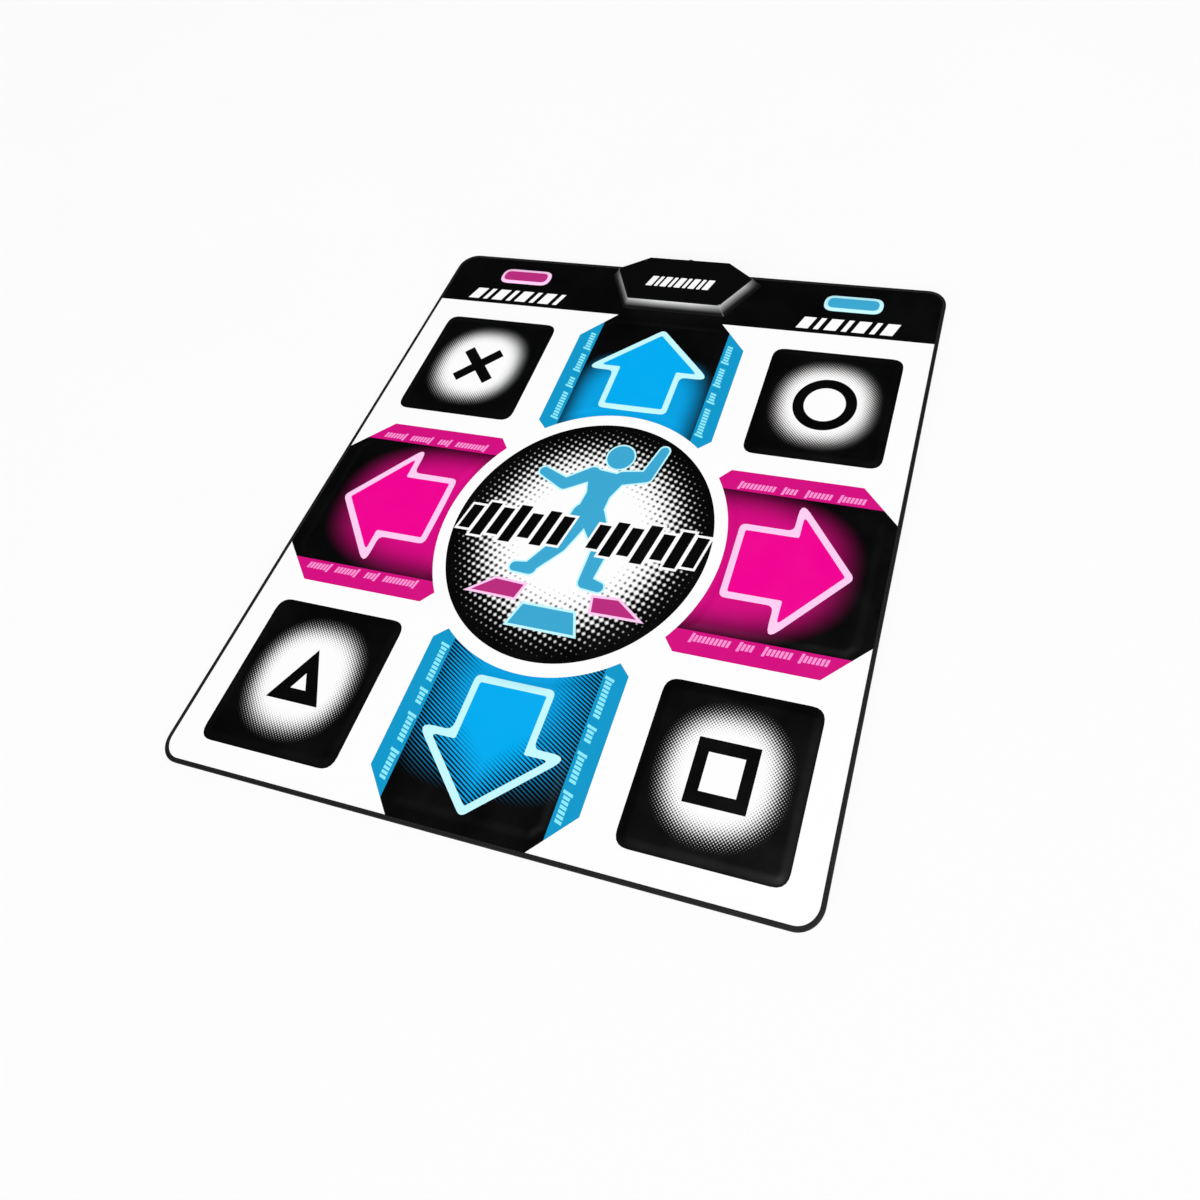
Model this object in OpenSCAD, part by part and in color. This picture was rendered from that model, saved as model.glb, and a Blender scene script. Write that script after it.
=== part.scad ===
// Soft dance mat with eight step panels, two push zones and a control box.
// Origin: on the floor, under the middle of the mat. +Y points to the control box, +X to the right.

/* [Mat] */
// Width of the mat, left to right
mat_w = 840; // [820:5:860]
// Depth of the mat, front to back
mat_d = 908; // [890:2:920]
// Radius of the mat's corners
corner_r = 30; // [15:1:45]
// Thickness of the non-slip backing sheet
backing_t = 0.8; // [0.5:0.1:1.2]
// Thickness of the base foam
base_foam_t = 1.6; // [1.5:0.1:2]
// Thickness of each circuit film
film_t = 0.3; // [0.2:0.05:0.4]
// Thickness of the printed conductors
print_t = 0.2; // [0.1:0.05:0.3]
// Thickness of the spacer foam
spacer_t = 1.2; // [1.2:0.1:2]
// Thickness of the printed cover sheet
cover_t = 0.8; // [0.5:0.1:1.2]

/* [Edge binding] */
// Width of the binding on the top and on the underside
binding_w = 5.5; // [4:0.5:8]
// Thickness of the binding tape over the cover
binding_t = 0.5; // [0.4:0.1:0.8]
// Thickness of the binding round the edge
binding_wall = 0.8; // [0.6:0.1:1.2]
// Width of the sewn thread
thread_w = 0.8; // [0.5:0.1:1]

/* [Step panels] */
// How far the panels move when they are stepped on
travel = 1.4; // [1:0.1:1.4]
// Thickness of the panel skin
skin_t = 0.8; // [0.5:0.1:1]
// Gap between a panel and the cover round it
panel_gap = 0.4; // [0.3:0.1:0.8]
// Distance of the panel centre point in front of the mat's middle
centre_back = 55; // [50:1:60]
// Sideways pitch of the square panels
square_pitch_x = 280; // [278:1:282]
// Front-to-back pitch of the square panels
square_pitch_y = 266; // [264:1:268]
// Side of a square panel
square_side = 196; // [188:1:198]
// Corner radius of a square panel
square_r = 18; // [14:1:24]
// Half the width of an arrow panel
arrow_half_w = 105; // [95:1:108]
// Radius of the round field that the arrow panels face
arrow_inner_r = 208; // [204:1:212]
// How far the left and right arrow panels reach from the centre point
side_reach = 402; // [396:1:404]
// How far the back arrow panel reaches
back_reach = 392; // [386:1:396]
// How far the front arrow panel reaches
front_reach = 382; // [376:1:384]
// Length of the two small push zones
button_l = 92; // [80:1:96]
// Width of the two small push zones
button_w = 33; // [28:1:36]
// Sideways place of the two push zones
button_x = 282; // [276:1:288]
// Front-to-back place of the two push zones
button_y = 411; // [409:1:413]

/* [Control box] */
// Height of the box's top face above the floor
box_top = 20; // [20:1:24]
// Thickness of the housing walls
wall = 2; // [1.6:0.1:2]
// Radius of the hole for the cable
cable_r = 2.6; // [2:0.1:3]
// Height of the cable hole above the floor
cable_z = 11.5; // [11.5:0.5:12]

/* [Hidden] */
$fn = 64;

// A distance too small to see, which keeps two outlines from meeting exactly
hair = 0.01;

// Heights of the layers, from the floor up
base_foam_z = backing_t;
lower_film_z = base_foam_z + base_foam_t;
lower_print_z = lower_film_z + film_t;
spacer_z = lower_print_z + print_t;
upper_print_z = spacer_z + spacer_t;
upper_film_z = upper_print_z + print_t;
cover_z = upper_film_z + film_t;
mat_top = cover_z + cover_t;

// Heights of the pieces of a step panel at rest
contact_clearance = 0.1;
contact_z = spacer_z + contact_clearance + travel;
panel_foam_z = contact_z + print_t;
skin_z = mat_top + travel - skin_t;

// Insets of the pieces that lie under a panel's skin, for step panels and for push zones
foam_inset = [4, 2];
contact_inset = [12, 5];
is_button = [0, 0, 0, 0, 0, 0, 0, 0, 1, 1];
ZONES = ["up", "left", "down", "right", "cross", "ring", "triangle", "square", "select", "start"];
ZONE_COLOURS = ["deepskyblue", "deeppink", "deepskyblue", "deeppink", "black", "black", "black", "black",
    "deeppink", "deepskyblue"];
arrow_reach = [back_reach, side_reach, front_reach, side_reach];
arrow_root = 150;
arrow_shoulder = 90;

// The control box stands in a notch in the back edge of the mat
box_back_y = mat_d / 2 + 14;
box_side_y = 435;
box_front_y = 361;
box_back_x = 75;
box_side_x = 130;
box_front_x = 86;
lip_y = mat_d / 2 + 0.5;
bevel_front = 11;
bevel_side = 15;
bevel_back = 2;
// How much of the side bevel the front and the back corners take
front_taper = 0.6;
back_taper = 0.45;
notch_back_x = 80;
notch_side_x = 108;
notch_side_y = 432;
notch_front_x = 72;
notch_front_y = 372;
board_z = mat_top;
board_t = 1.6;
board_w = 116;
board_d = 56;
board_y = 412;
board_posts = [[54, 402], [54, 434]];
screw_points = [[74, 392], [84, 440]];
screw_r = 1.1;
screw_head_r = 2.9;
screw_head_h = 1.6;
screw_head_z = 0.3;
screw_l = 14;
post_r = 4;
pilot_r = 1.2;
pilot_l = 12;
grommet_r = 4.2;
grommet_flange_r = 5.8;
grommet_l = 12;
flange_t = 2;

// The films' tails run from the notch's front edge into two connectors: [middle x, width, height]
tail_end = 392;
lower_tail = [0, 60, lower_film_z];
upper_tail = [48, 16, upper_film_z];
connector_y = 385;
connector_d = 9;
connector_side = 2;
clamp_x0 = lower_tail.x - lower_tail.y / 2 - 3;
clamp_w = upper_tail.x + upper_tail.y / 2 + 3 - clamp_x0;

// Conductor tracks: from each pad sideways to its column, up to its row, inwards, and into the notch.
// The pads are listed from the front of the mat to the back, so that no two tracks cross.
track_w = 2;
track_pitch = 4;
column_x = 144;
gather_y = 336;
gather_x = 8;
up_track_y = 316;
track_starts = [[80, -322], [200, -321], [192, -55], [200, 211], [250, 411]];

// ---- Plan outlines ----

module rounded_plan(w, d, r) {
    square([w - 2 * r, d], center = true);
    square([w, d - 2 * r], center = true);
    for (sx = [-1, 1], sy = [-1, 1])
        translate([sx * (w / 2 - r), sy * (d / 2 - r)]) circle(r);
}

module mat_plan(inset) {
    rounded_plan(mat_w - 2 * inset, mat_d - 2 * inset, corner_r - inset);
}

module notch_plan(grow) {
    polygon([
        [notch_front_x + grow, notch_front_y - grow],
        [notch_side_x + grow, notch_side_y],
        [notch_back_x + grow, mat_d / 2 + 1],
        [-notch_back_x - grow, mat_d / 2 + 1],
        [-notch_side_x - grow, notch_side_y],
        [-notch_front_x - grow, notch_front_y - grow]
    ]);
}

// The six corners of the box, front right first, going round to the front left
function box_corners(front, side, back) = [
    [box_front_x - side * front_taper, box_front_y + front],
    [box_side_x - side, box_side_y],
    [box_back_x - side * back_taper, box_back_y - back],
    [-box_back_x + side * back_taper, box_back_y - back],
    [-box_side_x + side, box_side_y],
    [-box_front_x + side * front_taper, box_front_y + front]
];

module box_plan(inset) {
    polygon(box_corners(inset, inset, inset));
}

// A zone that faces the round field: straight sides, cut-off outer corners, a hollow round inner side
module arrow_plan(reach, inset) {
    half = arrow_half_w - inset;
    far = reach - inset;
    shoulder = reach + arrow_shoulder - sqrt(2) * inset;
    difference() {
        polygon([
            [arrow_root, -half],
            [shoulder - half, -half],
            [far, far - shoulder],
            [far, shoulder - far],
            [shoulder - half, half],
            [arrow_root, half]
        ]);
        circle(arrow_inner_r + inset, $fn = 180);
    }
}

module button_plan(inset) {
    rounded_plan(button_l - 2 * inset, button_w - 2 * inset, button_w / 2 - inset - hair);
}

// The outline of zone number i in its place, drawn smaller by inset
module zone_plan(i, inset) {
    side = i % 2 == 0 ? -1 : 1;
    row = i < 6 ? 1 : -1;
    if (i < 4)
        translate([0, -centre_back]) rotate(90 + 90 * i) arrow_plan(arrow_reach[i], inset);
    else if (i < 8)
        translate([side * square_pitch_x, row * square_pitch_y - centre_back])
            rounded_plan(square_side - 2 * inset, square_side - 2 * inset, square_r - inset);
    else
        translate([side * button_x, button_y]) button_plan(inset);
}

module all_zones(inset) {
    for (i = [0 : len(ZONES) - 1]) zone_plan(i, inset);
}

// A full sheet of the mat at height z, with the box's notch
module sheet(z, t, inset) {
    translate([0, 0, z]) linear_extrude(t) difference() {
        mat_plan(inset);
        notch_plan(0);
    }
}

// The same sheet with a window for each zone
module windowed_sheet(z, t, inset) {
    translate([0, 0, z]) linear_extrude(t) difference() {
        mat_plan(inset);
        notch_plan(0);
        all_zones(0);
    }
}

// ---- Mat layers ----

module backing_sheet() {
    color("dimgray") sheet(0, backing_t, binding_w + 0.2);
}

module base_foam() {
    color("gainsboro") sheet(base_foam_z, base_foam_t, binding_wall + 0.2);
}

module lower_circuit_film() {
    color("lightgray") sheet(lower_film_z, film_t, binding_wall + 4);
}

module lower_contact_pads() {
    color("dimgray") translate([0, 0, lower_print_z]) linear_extrude(print_t)
        for (i = [0 : len(ZONES) - 1]) zone_plan(i, contact_inset[is_button[i]]);
}

// A straight track between two points that share an x or a y
module track(a, b) {
    translate([min(a.x, b.x) - track_w / 2, min(a.y, b.y) - track_w / 2])
        square([abs(a.x - b.x) + track_w, abs(a.y - b.y) + track_w]);
}

// Track number i leaves its pad sideways, runs along its column and gathers at the notch
module pad_track(i, side) {
    from = [side * track_starts[i].x, track_starts[i].y];
    column = side * (column_x + track_pitch * i);
    row_y = gather_y + track_pitch * i;
    slot_x = side * (gather_x + track_pitch * i);
    track(from, [column, from.y]);
    track([column, from.y], [column, row_y]);
    track([column, row_y], [slot_x, row_y]);
    track([slot_x, row_y], [slot_x, notch_front_y - track_w]);
}

module lower_tracks() {
    color("black") translate([0, 0, lower_print_z]) linear_extrude(print_t) difference() {
        union() {
            for (i = [0 : len(track_starts) - 1]) pad_track(i, -1);
            for (i = [1 : len(track_starts) - 1]) pad_track(i, 1);
            track([0, up_track_y], [0, notch_front_y - track_w]);
        }
        for (i = [0 : len(ZONES) - 1]) zone_plan(i, contact_inset[is_button[i]] - hair);
    }
}

module spacer_foam() {
    color("whitesmoke") windowed_sheet(spacer_z, spacer_t, binding_wall + 0.2);
}

// The common conductor: two columns joined along the back, with a lead to the notch
module common_track() {
    run_y = notch_front_y - 4 * track_w;
    color("black") translate([0, 0, upper_print_z]) linear_extrude(print_t) {
        for (side = [-1, 1])
            track([side * column_x, -square_pitch_y - centre_back], [side * column_x, run_y]);
        track([-column_x, run_y], [column_x, run_y]);
        track([upper_tail.x, run_y], [upper_tail.x, notch_front_y - track_w]);
    }
}

module upper_circuit_film() {
    color("lightgray") windowed_sheet(upper_film_z, film_t, binding_wall + 4);
}

module printed_cover() {
    color("white") windowed_sheet(cover_z, cover_t, binding_wall + 0.2);
}

// Tape with a C section round the edge, open where the control box stands
module edge_binding() {
    color("black") difference() {
        union() {
            linear_extrude(mat_top + binding_t) difference() {
                mat_plan(0);
                mat_plan(binding_wall);
            }
            linear_extrude(backing_t) difference() {
                mat_plan(0);
                mat_plan(binding_w);
            }
            translate([0, 0, mat_top]) linear_extrude(binding_t) difference() {
                mat_plan(0);
                mat_plan(binding_w);
            }
        }
        translate([0, 0, -1]) linear_extrude(box_top) box_plan(-1);
    }
}

module binding_stitching() {
    seam = binding_w - 1.5;
    color("gray") translate([0, 0, mat_top + binding_t]) linear_extrude(print_t) difference() {
        mat_plan(seam - thread_w / 2);
        mat_plan(seam + thread_w / 2);
        box_plan(-1);
    }
}

// ---- Control box ----

// A block with six slanted sides between two levels
module box_block(z0, z1, low, high) {
    corners = concat([for (p = low) [p.x, p.y, z0]], [for (p = high) [p.x, p.y, z1]]);
    sides = [for (i = [0 : 5]) [i, i + 6, (i + 1) % 6 + 6, (i + 1) % 6]];
    polyhedron(corners, concat([[0, 1, 2, 3, 4, 5], [11, 10, 9, 8, 7, 6]], sides));
}

module at_both_sides(points) {
    for (side = [-1, 1], p = points) translate([side * p.x, p.y]) children();
}

module box_base() {
    fit = 0.5;
    rim_h = mat_top - 0.3;
    color("black") difference() {
        union() {
            linear_extrude(wall) notch_inner_plan(fit);
            linear_extrude(rim_h) difference() {
                notch_inner_plan(fit);
                notch_inner_plan(fit + wall);
            }
            linear_extrude(rim_h) lip_plan();
            at_both_sides(screw_points) cylinder(h = rim_h, r = post_r + 0.5);
            at_both_sides(board_posts) cylinder(h = board_z, r = 2.5);
        }
        translate([clamp_x0, notch_front_y, lower_film_z - 0.4]) cube([clamp_w, 6, mat_top]);
        at_both_sides(screw_points) translate([0, 0, -1]) cylinder(h = box_top, r = screw_r + 0.5);
        at_both_sides(screw_points) translate([0, 0, -1])
            cylinder(h = 1 + screw_head_z + screw_head_h + 0.1, r = screw_head_r + 0.3);
    }
}

// The part of the base that lies in the mat's notch
module notch_inner_plan(inset) {
    intersection() {
        notch_plan(-inset);
        translate([-mat_w / 2, 0]) square([mat_w, lip_y]);
    }
}

// The part of the base behind the mat's edge
module lip_plan() {
    intersection() {
        box_plan(0);
        translate([-mat_w / 2, lip_y - 0.5]) square([mat_w, 20]);
    }
}

module box_cover() {
    outer_low = box_corners(0, 0, 0);
    outer_high = box_corners(bevel_front, bevel_side, bevel_back);
    inner_low = box_corners(wall, wall, wall);
    inner_high = box_corners(bevel_front + wall, bevel_side + wall, bevel_back + wall);
    color("black") {
        difference() {
            box_block(mat_top, box_top, outer_low, outer_high);
            box_block(mat_top - 1, box_top - wall, inner_low, inner_high);
            translate([0, box_back_y - 10, cable_z]) rotate([-90, 0, 0]) cylinder(h = 20, r = grommet_r);
        }
        at_both_sides(screw_points) difference() {
            translate([0, 0, mat_top]) cylinder(h = box_top - wall - mat_top, r = post_r);
            translate([0, 0, mat_top - 1]) cylinder(h = pilot_l, r = pilot_r);
        }
    }
}

module box_screws() {
    color("silver") at_both_sides(screw_points) {
        translate([0, 0, screw_head_z]) cylinder(h = screw_head_h, r = screw_head_r);
        translate([0, 0, screw_head_z]) cylinder(h = screw_l, r = screw_r);
    }
}

// Rubber inlet in the back wall, with a flange on each side of it
module cable_grommet() {
    neck = 3.6;
    color("dimgray") translate([0, box_back_y + flange_t - grommet_l, cable_z]) rotate([-90, 0, 0]) difference() {
        union() {
            cylinder(h = grommet_l, r = grommet_r - 0.1);
            translate([0, 0, grommet_l - flange_t + 0.1]) cylinder(h = flange_t - 0.1, r = grommet_flange_r);
            cylinder(h = grommet_l - flange_t - neck, r = grommet_flange_r - 0.5);
        }
        translate([0, 0, -1]) cylinder(h = grommet_l + 2, r = cable_r);
    }
}

module circuit_board() {
    color("darkgreen") difference() {
        translate([-board_w / 2, board_y - board_d / 2, board_z]) cube([board_w, board_d, board_t]);
        at_both_sides(board_posts) translate([0, 0, board_z - 1]) cylinder(h = board_t + 2, r = 1.2);
    }
}

module controller_chip() {
    chip_r = 8;
    color("black") translate([-20, 416, board_z + board_t]) {
        cylinder(h = 0.8, r = chip_r);
        translate([0, 0, 0.8]) cylinder(h = 0.8, r = chip_r - 2);
    }
}

// Crystal, two capacitors and a row of resistors
module board_components() {
    color("tan") translate([0, 0, board_z + board_t]) {
        translate([4, 402, 0]) cube([10, 4, 3.5]);
        for (x = [24, 34]) translate([x, 404, 0]) cylinder(h = 7, r = 2.5);
        for (i = [0 : 8]) translate([-46 + 5 * i, 395, 0]) cube([3, 1.6, 0.8]);
    }
}

module cable_header() {
    color("ivory") difference() {
        translate([-8, 430, board_z + board_t]) cube([16, 6, 6]);
        translate([-6.5, 431.5, board_z + board_t + 2]) cube([13, 6, 5]);
    }
}

// Two blocks under the board's front edge that take the film tails
module film_connectors() {
    color("ivory") difference() {
        for (tail = [lower_tail, upper_tail])
            translate([tail.x - tail.y / 2 - connector_side, connector_y, wall + 0.1])
                cube([tail.y + 2 * connector_side, connector_d, board_z - wall - 0.2]);
        for (tail = [lower_tail, upper_tail])
            translate([tail.x - tail.y / 2 - 0.5, connector_y - 1, tail.z - 0.1])
                cube([tail.y + 1, tail_end - connector_y + 1.2, film_t + 0.2]);
    }
}

// The films' tails, which run into the box
module film_tails() {
    color("lightgray") for (tail = [lower_tail, upper_tail])
        translate([tail.x - tail.y / 2, notch_front_y, tail.z])
            cube([tail.y, tail_end - notch_front_y, film_t]);
}

// A bar that holds the tails down at the edge of the notch
module tail_clamp() {
    color("dimgray") translate([clamp_x0 + 1, notch_front_y + 1, upper_film_z + film_t + 0.05])
        cube([clamp_w - 2, 4, 3]);
}

// ---- Pieces of each zone ----

module panel_skin(i) {
    color(ZONE_COLOURS[i]) translate([0, 0, skin_z]) linear_extrude(skin_t) zone_plan(i, panel_gap);
}

module panel_foam(i) {
    color("whitesmoke") translate([0, 0, panel_foam_z]) linear_extrude(skin_z - panel_foam_z)
        zone_plan(i, foam_inset[is_button[i]]);
}

module contact_pad(i) {
    color("dimgray") translate([0, 0, contact_z]) linear_extrude(print_t)
        zone_plan(i, contact_inset[is_button[i]]);
}

backing_sheet();
base_foam();
lower_circuit_film();
lower_contact_pads();
lower_tracks();
spacer_foam();
common_track();
upper_circuit_film();
printed_cover();
edge_binding();
binding_stitching();
box_base();
box_cover();
box_screws();
cable_grommet();
circuit_board();
controller_chip();
board_components();
cable_header();
film_connectors();
film_tails();
tail_clamp();
for (i = [0 : len(ZONES) - 1]) {
    panel_skin(i);
    panel_foam(i);
    contact_pad(i);
}
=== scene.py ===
import math

import bmesh
import bpy
import numpy as np
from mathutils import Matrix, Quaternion, Vector
from mathutils.geometry import delaunay_2d_cdt
from mathutils.kdtree import KDTree


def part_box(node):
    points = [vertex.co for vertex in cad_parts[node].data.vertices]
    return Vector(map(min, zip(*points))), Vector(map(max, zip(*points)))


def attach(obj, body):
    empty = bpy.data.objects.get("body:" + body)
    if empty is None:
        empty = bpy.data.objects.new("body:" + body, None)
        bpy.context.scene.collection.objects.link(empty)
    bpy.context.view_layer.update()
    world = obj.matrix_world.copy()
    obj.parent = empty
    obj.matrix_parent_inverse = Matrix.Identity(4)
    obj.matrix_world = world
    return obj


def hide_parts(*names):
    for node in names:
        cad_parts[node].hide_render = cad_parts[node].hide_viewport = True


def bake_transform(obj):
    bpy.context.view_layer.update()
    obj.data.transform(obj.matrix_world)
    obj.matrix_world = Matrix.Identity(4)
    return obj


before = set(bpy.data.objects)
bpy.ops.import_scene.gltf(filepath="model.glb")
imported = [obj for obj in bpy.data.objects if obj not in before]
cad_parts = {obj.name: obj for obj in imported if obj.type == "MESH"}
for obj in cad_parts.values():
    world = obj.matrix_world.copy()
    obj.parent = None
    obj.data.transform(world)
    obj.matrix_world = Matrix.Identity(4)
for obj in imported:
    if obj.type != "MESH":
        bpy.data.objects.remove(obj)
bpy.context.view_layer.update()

# Plan outlines and heights are in millimetres, and make_mesh() turns them into metres.
MM = 0.001


def box_mm(node):
    """A CAD node's lowest and highest corners, in millimetres."""
    return [np.array(corner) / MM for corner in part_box(node)]


def middle(node):
    low, high = box_mm(node)
    return (low + high) / 2


# ---- Sizes read from the frame ----

HALF_W, HALF_D, BINDING_TOP = box_mm("edge_binding")[1]
COVER_X, COVER_Y, MAT_TOP = box_mm("printed_cover")[1]
COVER_FLOOR = box_mm("printed_cover")[0][2]
BACKING_X, BACKING_Y, BACKING_TOP = box_mm("backing_sheet")[1]
CREST = box_mm("up_panel_skin")[1][2]
CENTRE_Y = middle("left_panel_skin")[1]
BOX_SIDE, BOX_BACK, BOX_TOP = box_mm("box_cover")[1]
BOX_FRONT = box_mm("box_cover")[0][1]

ARROWS = ["up", "left", "down", "right"]
SQUARES = ["cross", "ring", "triangle", "square"]
BUTTONS = ["select", "start"]

# ---- Sizes that the CAD has too ----

# Corner of the mat
CORNER_R = 30
# Between a zone's panel and its window in the cover
PANEL_GAP = 0.4
# Radius at which the arrow panels end round the middle
ZONE_R = 208
# Half widths of the box at its front and back, and where along y it is widest
BOX_FRONT_HALF = 86
BOX_BACK_HALF = 75
BOX_WIDEST_Y = 435
# How far the top edge is set back from the foot on each side
BEVEL_FRONT = 11
BEVEL_SIDE = 15
BEVEL_BACK = 2
# The share of a set-back side that the front and back corners move inwards
FRONT_TAPER = 0.6
BACK_TAPER = 0.45
BOX_WALL = 2
# Posts for the box's screws, as x and y on the right side
SCREW_POSTS = [(74, 392), (84, 440)]
POST_R = 4
PILOT_R = 1.2
GROMMET_R = 4.2

# ---- Sizes of the print ----

# The white ring in the middle and the disc inside it
RING_R = 203
DISC_R = 185
# The front edge of the black band
HEADER_Y = 346
# Half widths of an arrow's field, and of its field and strips together
FIELD_HALF = 105
STRIP_HALF = 136
# Where the slanted outer end of each arrow's strips starts, and where its printed field ends
STRIP_END = {"up": 351, "left": 362, "down": 345, "right": 362}
FIELD_END = {"up": HEADER_Y - CENTRE_Y, "left": COVER_X, "down": COVER_Y + CENTRE_Y, "right": COVER_X}
SLANT = 50 / 48
# The middle of an arrow's pale line, as distances outwards and across, and the width of that line
ARROW_SHAPE = [(370, 0), (290, 90), (290, 50), (218, 50), (218, -50), (290, -50), (290, -90)]
ARROW_LINE = 9
# Groups of ticks along a strip, as start and end, and how far out the first group starts
TICK_GROUPS = [(0, 50), (61, 82), (93, 127), (138, 174)]
TICKS_START = {"up": 184, "left": 195, "down": 184, "right": 195}
TICK_PITCH = 5.2


# ---- Outlines ----

def smooth(t):
    t = np.clip(t, 0, 1)
    return t * t * (3 - 2 * t)


def arc(centre, radius, start, end, step):
    """Points along an arc, from one angle to another, in degrees."""
    count = max(2, round(abs(end - start) / step) + 1)
    angles = np.radians(np.linspace(start, end, count))
    return np.array(centre) + radius * np.c_[np.cos(angles), np.sin(angles)]


def circle(centre, radius, step):
    return arc(centre, radius, 0, 360 - step, step)


def rounded(points, radius, steps=5):
    """A closed outline with each corner replaced by an arc of that radius, or the most that fits."""
    points = np.array(points, float)
    made = []
    for i, corner in enumerate(points):
        to_last = points[i - 1] - corner
        to_next = points[(i + 1) % len(points)] - corner
        room = min(np.linalg.norm(to_last), np.linalg.norm(to_next)) * 0.48
        to_last /= np.linalg.norm(to_last)
        to_next /= np.linalg.norm(to_next)
        half = math.acos(np.clip(to_last @ to_next, -1, 1)) / 2
        reach = min(radius / math.tan(half), room)
        start, end = corner + to_last * reach, corner + to_next * reach
        for t in np.linspace(0, 1, steps + 1):
            made.append((1 - t) ** 2 * start + 2 * t * (1 - t) * corner + t * t * end)
    return np.array(made)


def rectangle(low, high, radius=0.0):
    corners = [(low[0], low[1]), (high[0], low[1]), (high[0], high[1]), (low[0], high[1])]
    return rounded(corners, radius) if radius else np.array(corners, float)


def area(points):
    x, y = points.T
    return (x @ np.roll(y, -1) - y @ np.roll(x, -1)) / 2


def grown(points, distance):
    """A closed outline moved outwards by a distance, or inwards if it is negative."""
    points = np.array(points, float)
    if area(points) < 0:
        points = points[::-1]
    along = np.roll(points, -1, 0) - points
    along /= np.linalg.norm(along, axis=1)[:, None]
    out = np.c_[along[:, 1], -along[:, 0]]
    last = np.roll(out, 1, 0)
    return points + distance * (out + last) / (1 + (out * last).sum(1))[:, None]


def turned(points, arrow):
    """From an arrow's own plan, outwards and across, to the mat's plan."""
    angle = math.radians(90 + 90 * ARROWS.index(arrow))
    c, s = math.cos(angle), math.sin(angle)
    points = np.array(points, float)
    return points @ np.array([[c, s], [-s, c]]) + (0, CENTRE_Y)


def spaced(points, spacing):
    """The same closed outline with points added, so that none of its steps is longer than spacing."""
    made = []
    for i, a in enumerate(points):
        b = points[(i + 1) % len(points)]
        count = max(1, math.ceil(np.linalg.norm(b - a) / spacing))
        made += [a + (b - a) * k / count for k in range(count)]
    return np.array(made)


def inside(points, outline):
    """Which points lie inside a closed outline."""
    low, high = outline.min(0), outline.max(0)
    near = np.flatnonzero(((points >= low) & (points <= high)).all(1))
    x, y = points[near].T[:, :, None]
    (x0, y0), (x1, y1) = outline.T, np.roll(outline, -1, 0).T
    rise = np.where(y1 == y0, 1e-12, y1 - y0)
    crosses = ((y0 > y) != (y1 > y)) & (x < x0 + (y - y0) * (x1 - x0) / rise)
    found = np.zeros(len(points), bool)
    found[near] = crosses.sum(1) % 2 == 1
    return found


def away(points, outline):
    """How far each point is from a closed outline's line."""
    step = np.roll(outline, -1, 0) - outline
    offset = points[:, None, :] - outline[None]
    t = np.clip((offset * step).sum(2) / np.maximum((step * step).sum(1), 1e-12), 0, 1)
    return np.linalg.norm(offset - t[:, :, None] * step, axis=2).min(1)


# ---- The outlines of the mat, its zones and the box ----

def mat_outline(inset):
    corner = CORNER_R - inset
    x, y = HALF_W - inset, HALF_D - inset
    points = []
    for sx, sy, start in ((1, -1, -90), (1, 1, 0), (-1, 1, 90), (-1, -1, 180)):
        points.append(arc((sx * (x - corner), sy * (y - corner)), corner, start, start + 90, 7.5))
    return np.concatenate(points)


def hexagon(front, side, back):
    """The box's six corners, front right first, drawn smaller by the three insets."""
    right = [(BOX_FRONT_HALF - side * FRONT_TAPER, BOX_FRONT + front), (BOX_SIDE - side, BOX_WIDEST_Y),
             (BOX_BACK_HALF - side * BACK_TAPER, BOX_BACK - back)]
    return np.array(right + [(-x, y) for x, y in reversed(right)])


def notch_outline():
    """The notch in the mat's sheets, hidden under the box."""
    right = [(72, 372), (108, 432), (80, HALF_D + 10)]
    return np.array(right + [(-x, y) for x, y in reversed(right)], float)


def slant_at(arrow, v):
    """How far out the slanted end of an arrow's print is, at a distance v from its middle line."""
    return STRIP_END[arrow] + (STRIP_HALF - v) * SLANT


def field_outline(arrow):
    """The printed field of an arrow, from the white ring to its outer end."""
    end = FIELD_END[arrow]
    half_end = STRIP_HALF - (end - STRIP_END[arrow]) / SLANT
    half_angle = math.degrees(math.asin(FIELD_HALF / RING_R))
    inner = arc((0, 0), RING_R, half_angle, -half_angle, 2)
    outer = [(slant_at(arrow, FIELD_HALF), -FIELD_HALF), (end, -half_end), (end, half_end),
             (slant_at(arrow, FIELD_HALF), FIELD_HALF)]
    return turned(np.concatenate([inner, outer]), arrow)


def strip_outline(arrow, side):
    """A coloured strip beside an arrow's field, with a corner cut off at each end."""
    inner_end, inner_half = 178, 120
    tip = math.degrees(math.asin(inner_half / RING_R))
    root = math.degrees(math.asin(FIELD_HALF / RING_R))
    outer = [(inner_end, STRIP_HALF), (STRIP_END[arrow], STRIP_HALF)]
    outer.append((slant_at(arrow, FIELD_HALF), FIELD_HALF))
    points = np.concatenate([outer, arc((0, 0), RING_R, root, tip, 2)])
    return turned(points * (1, side), arrow)


def zone_outline(zone):
    """The rim of the raised part of a zone, as the CAD has it."""
    low, high = box_mm(zone + "_panel_skin")
    low, high = low[:2] - PANEL_GAP, high[:2] + PANEL_GAP
    if zone in SQUARES:
        return rectangle(low, high, 18)
    if zone in BUTTONS:
        return rectangle(low, high, (high[1] - low[1]) / 2 - 0.1)
    reach = {"up": high[1] - CENTRE_Y, "left": -low[0], "down": CENTRE_Y - low[1], "right": high[0]}[zone]
    half_angle = math.degrees(math.asin(FIELD_HALF / ZONE_R))
    inner = arc((0, 0), ZONE_R, half_angle, -half_angle, 2)
    outer = [(reach - 15, -FIELD_HALF), (reach, -90), (reach, 90), (reach - 15, FIELD_HALF)]
    return turned(np.concatenate([inner, outer]), zone)


ZONE_RIMS = {zone: zone_outline(zone) for zone in ARROWS + SQUARES + BUTTONS}
CROWN_W = {zone: 6 if zone in BUTTONS else 13 for zone in ZONE_RIMS}


# ---- The shape of the printed surface ----

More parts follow.
